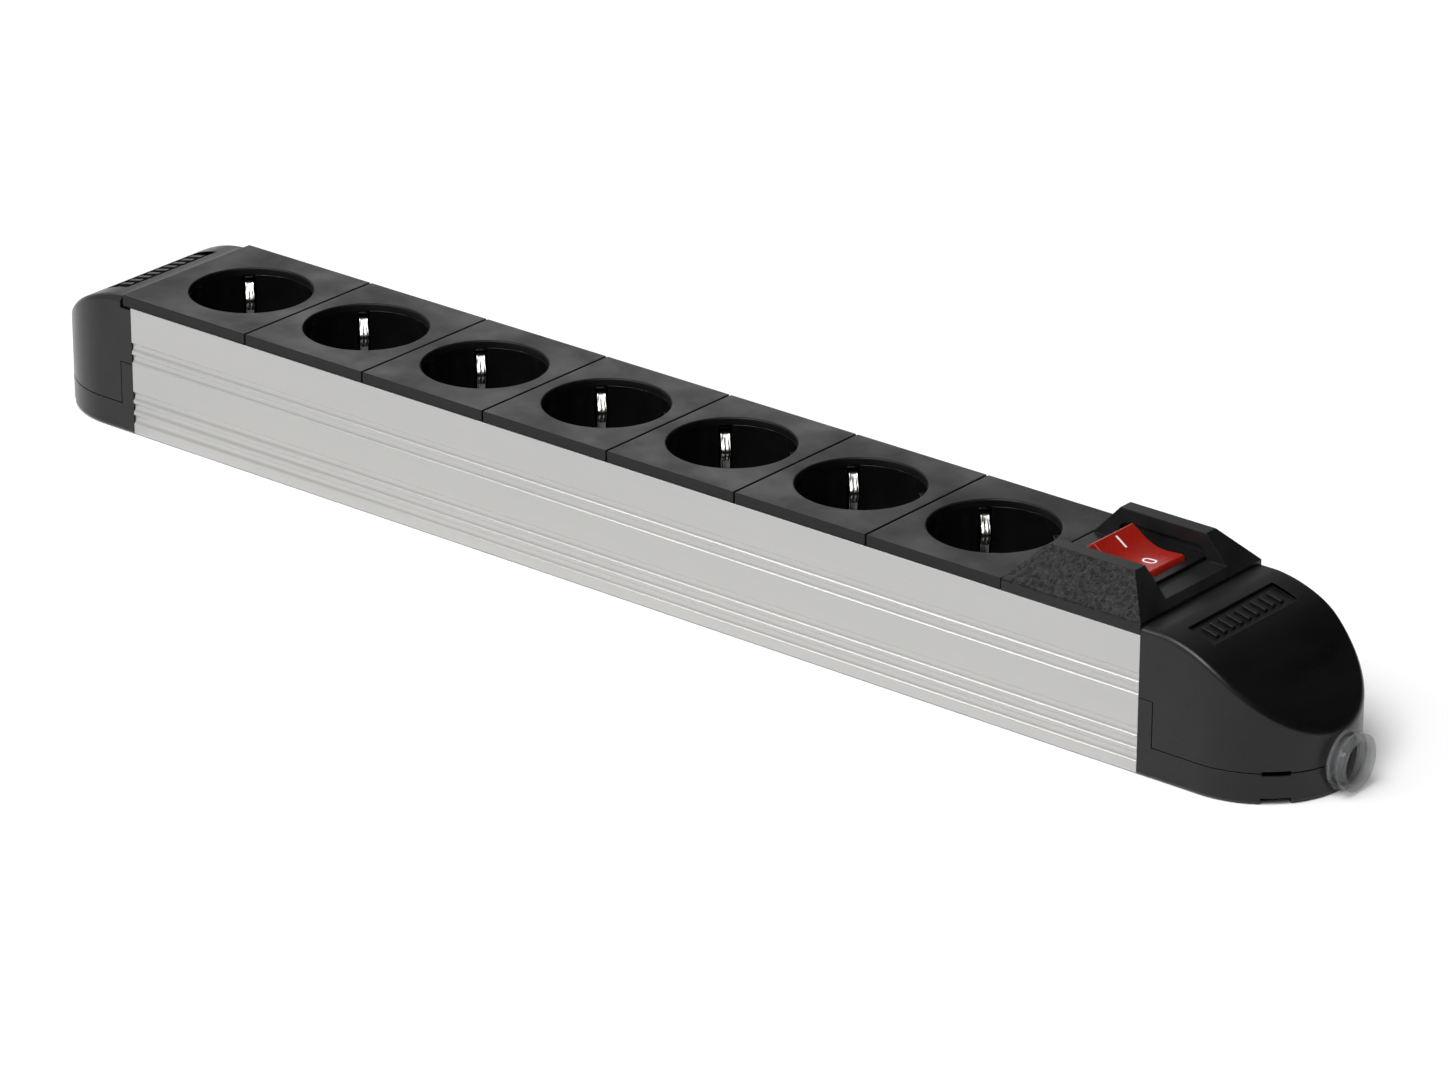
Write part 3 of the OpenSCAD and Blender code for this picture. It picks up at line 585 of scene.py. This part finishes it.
def hood_shape(run, overhang, has_cord):
    """Columns across the hood, each up one wall, over the round edge, across the top and down again."""
    shape = bmesh.new()
    stops = {-run + first_stop, -run + collar + seam, -run + flat_length, -run + badge_from, 0.0}
    badge_end = -run + badge_from + badge_length * math.cos(badge_slope)
    if badge_end < 0:
        stops.add(badge_end)
    x = -run + second_stop
    while x < -column_gap:
        if min(abs(x - s) for s in stops) > column_gap:
            stops.add(x)
        x += column_step
    columns = [(x, 0.0, None) for x in sorted(stops)]
    turns = {turn_step * k for k in range(1, turn_count + 1)}
    for side in (-slot_half, slot_half):
        turns |= {slot_middle + side - slot_side, slot_middle + side + slot_side}
    if badge_end > 0:
        turns.add(math.asin(badge_end / (nose_r - edge_r)))
    if has_cord:
        turns.add(math.acos(cord_seat_r / nose_r))
    columns += [(0.0, t, None) for t in sorted(turns)]
    if overhang:
        step = -run + overhang
        flange = lip_foot - flange_gap
        below = [(x, t, flange) for x, t, _ in columns if t == 0 and x < step - flange_reach]
        beyond = [c for c in columns if c[1] > 0 or c[0] > step + flange_reach]
        columns = below + [(step, 0.0, flange), (step, 0.0, None)] + beyond

    def column(x, turn, cut):
        """One run of points across the hood, level at cut if that is given, and where its lid starts."""
        def at(inset):
            return x + (nose_r - inset) * math.sin(turn), (nose_r - inset) * math.cos(turn)

        px, py = at(0)
        foot = part_line + seam
        if abs(turn - slot_middle) < slot_half:
            foot = part_line + slot_rise
        if has_cord and py < cord_seat_r:
            foot = part_line + math.sqrt(cord_seat_r ** 2 - py * py)
        top = cut if cut else hood_height(px, run)
        shoulder = top if cut else top - edge_r
        halfway = ear_top + seam if turn == 0 else (foot + shoulder) / 2
        wall = [(px, py, foot), (px, py, halfway)]
        for k in range(edge_steps + 1):
            a = math.radians(90 * k / edge_steps)
            inset = 0 if cut else edge_r * (1 - math.cos(a))
            qx, qy = at(inset)
            wall.append((qx, qy, top if cut else hood_height(qx, run) - edge_r * (1 - math.sin(a))))
        tx, ty = wall[-1][0], wall[-1][1]
        inner = min(badge_half, 0.8 * ty)
        lid = [(tx, inner + (ty - inner) * (1 - k / lid_edge_steps), wall[-1][2])
               for k in range(1, lid_edge_steps)]
        lid += [(tx, inner * (1 - k / lid_steps), wall[-1][2]) for k in range(lid_steps + 1)]
        half = wall + lid
        return [(px, -py, pz) for px, py, pz in half] + half[-2::-1], len(wall) + lid_edge_steps - 1

    lines = [column(*c) for c in columns]
    first_badge = lines[0][1]
    count = len(lines[0][0])
    tops = [c[0] + (nose_r - edge_r) * math.sin(c[1]) for c in columns]
    for k in range(len(columns) - 1):
        a, b = lines[k][0], lines[k + 1][0]
        in_collar = columns[k + 1][1] == 0 and columns[k + 1][0] <= -run + collar + seam + 1e-7
        in_badge = tops[k] > -run + badge_from - 1e-6 and tops[k + 1] < badge_end + 1e-6
        for r in range(count - 1):
            if in_collar and r in (0, count - 2):
                continue
            if in_badge and first_badge <= r < count - 1 - first_badge:
                continue
            corners = [a[r], a[r + 1], b[r + 1], b[r]]
            if (Vector(corners[0]) - Vector(corners[2])).length > 1e-7:
                face(shape, *corners)
    face(shape, *lines[0][0][1:-1])
    return shape, badge_end


def badge_floor(x, run):
    """Height of the recess's sloping floor."""
    return hood_top - badge_depth - (x + run - badge_from) * math.tan(badge_slope)


def badge_shape(run, badge_end):
    """The recess's floor and its four walls."""
    shape = bmesh.new()
    low, high = -run + badge_from, badge_end
    steps = [low + (high - low) * k / badge_steps for k in range(badge_steps + 1)]
    for a, b in zip(steps, steps[1:]):
        for y in (-badge_half, badge_half):
            face(shape, (a, y, badge_floor(a, run)), (b, y, badge_floor(b, run)),
                 (b, y, hood_height(b, run)), (a, y, hood_height(a, run)))
    for x in (low, high):
        face(shape, (x, -badge_half, badge_floor(x, run)), (x, badge_half, badge_floor(x, run)),
             (x, badge_half, hood_height(x, run)), (x, -badge_half, hood_height(x, run)))
    outline = ((low, -badge_half), (high, -badge_half), (high, badge_half), (low, badge_half))
    face(shape, *[(x, y, badge_floor(x, run)) for x, y in outline])
    return shape


def bars_shape(run):
    """A row of plain bars that stand on the recess's floor."""
    shape = bmesh.new()
    low, high = -run + badge_from + bar_start, -run + badge_from + badge_length - bar_stop
    for k in range(bar_count):
        y = (k - bar_count // 2) * bar_pitch
        base = ((low, y - bar_half), (high, y - bar_half), (high, y + bar_half), (low, y + bar_half))
        under = [(x, q, badge_floor(x, run) - bar_root) for x, q in base]
        over = [(x, q, badge_floor(x, run) + bar_high) for x, q in base]
        face(shape, *over)
        for i in range(4):
            j = (i + 1) % 4
            face(shape, under[i], under[j], over[j], over[i])
    return shape


def set_end(shape, middle, turned):
    """Moves a part of an end, drawn about its nose, to its place on the strip."""
    turn = Matrix.Rotation(math.pi if turned else 0, 4, "Z")
    bmesh.ops.transform(shape, matrix=Matrix.Translation((middle, 0, 0)) @ turn, verts=shape.verts)
    return shape


cable_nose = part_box("cable_end_hood")[1].x - nose_r
blank_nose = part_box("blank_end_hood")[0].x + nose_r
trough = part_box("aluminium_profile")
flange_length = 4.6 * mm
ends = (("cable_end", cable_nose, cable_nose - trough[1].x, 0.0, True),
        ("blank_end", blank_nose, trough[0].x - blank_nose, flange_length, False))
for end, middle, run, overhang, has_cord in ends:
    turned = not has_cord
    skin, badge_end = hood_shape(run, overhang, has_cord)
    recess = badge_shape(run, badge_end)
    bars = bars_shape(run)
    piece(f"{end}_cap", set_end(skin, middle, turned), cap_black, stands_for=[f"{end}_hood"],
          wall=hood_wall, edge=hood_edge, limit=40)
    piece(f"{end}_recess", set_end(recess, middle, turned), cap_black)
    piece(f"{end}_bars", set_end(bars, middle, turned), cap_black, edge=hood_edge)

# ---- Cord bushing ----
# A clear moulded sleeve with two rings outside the nose, which keeps the cord from chafing. It is
# gripped between base and hood.
clear = Finish("clear_bushing")
haze = clear.mottle(0.004)
clear.shade(
    Base_Color=clear.between(haze, (0.12, 0.122, 0.125), (0.22, 0.224, 0.23)),
    Alpha=0.22 + 0.18 * haze,
    Roughness=0.07 + 0.10 * haze,
    IOR=1.5,
    Normal=clear.relief(haze, 0.00002, rounding=0.0004))
dress(["cable_bushing"], clear)

# ---- Table and light ----
# A plain pale table that runs out of sight under an even white ceiling. One broad soft light hangs over
# the front and two small ones stand at the side and behind, in a room that is brightest at the left.
table_half = 5
table_shape = bmesh.new()
bmesh.ops.create_grid(table_shape, x_segments=40, y_segments=40, size=table_half)
table_mesh = bpy.data.meshes.new("table")
table_shape.to_mesh(table_mesh)
table_shape.free()
paper = Finish("pale_paper")
paper.shade(
    Base_Color=paper.between(paper.mottle(0.3), (0.92, 0.92, 0.92), (0.94, 0.94, 0.94)),
    Roughness=0.9,
    Specular_IOR_Level=0.1)
table_mesh.materials.append(paper.material)
table = bpy.data.objects.new("table", table_mesh)
bpy.context.scene.collection.objects.link(table)


def softbox(name, at, towards, width, depth, watts):
    """A rectangular light that faces a point and isn't seen itself."""
    light = bpy.data.lights.new(name, "AREA")
    light.shape = "RECTANGLE"
    light.size, light.size_y = width, depth
    light.energy = watts
    made = bpy.data.objects.new(name, light)
    made.matrix_world = (Matrix.Translation(at)
                         @ (Vector(at) - Vector(towards)).to_track_quat("Z", "Y").to_matrix().to_4x4())
    made.visible_camera = False
    bpy.context.scene.collection.objects.link(made)


even_light = bpy.data.lights.new("ceiling", "SUN")
even_light.energy = 2.0
even_light.angle = math.radians(34)
ceiling = bpy.data.objects.new("ceiling", even_light)
ceiling.matrix_world = Vector((0, -0.45, 0.89)).to_track_quat("Z", "Y").to_matrix().to_4x4()
bpy.context.scene.collection.objects.link(ceiling)
cord_end = (cable_nose, 0, 0.04)
softbox("overhead", (0.45, -0.85, 1.15), (0.1, 0, 0), 1.2, 0.9, 8)
softbox("side", (-0.51, -0.75, 0.68), cord_end, 0.4, 0.4, 3.2)
softbox("rear", (-0.68, 0.72, 0.46), (0, 0, 0.04), 0.46, 0.34, 0.85)

room = bpy.data.worlds.new("studio")
room.use_nodes = True
bpy.context.scene.world = room
nodes, links = room.node_tree.nodes, room.node_tree.links
nodes.clear()
direction = nodes.new("ShaderNodeTexCoord")
towards_light = nodes.new("ShaderNodeVectorMath")
towards_light.operation = "DOT_PRODUCT"
towards_light.inputs[1].default_value = (-0.60, -0.35, 0.0)
tone = nodes.new("ShaderNodeMapRange")
tone.inputs["From Min"].default_value = -0.35
tone.inputs["From Max"].default_value = 0.65
tone.inputs["To Min"].default_value = 0.0
tone.inputs["To Max"].default_value = 1.0
backdrop = nodes.new("ShaderNodeBackground")
room_out = nodes.new("ShaderNodeOutputWorld")
links.new(direction.outputs["Generated"], towards_light.inputs[0])
links.new(towards_light.outputs["Value"], tone.inputs["Value"])
links.new(tone.outputs["Result"], backdrop.inputs["Strength"])
links.new(backdrop.outputs[0], room_out.inputs["Surface"])
bpy.context.scene.view_settings.view_transform = "Standard"

import json
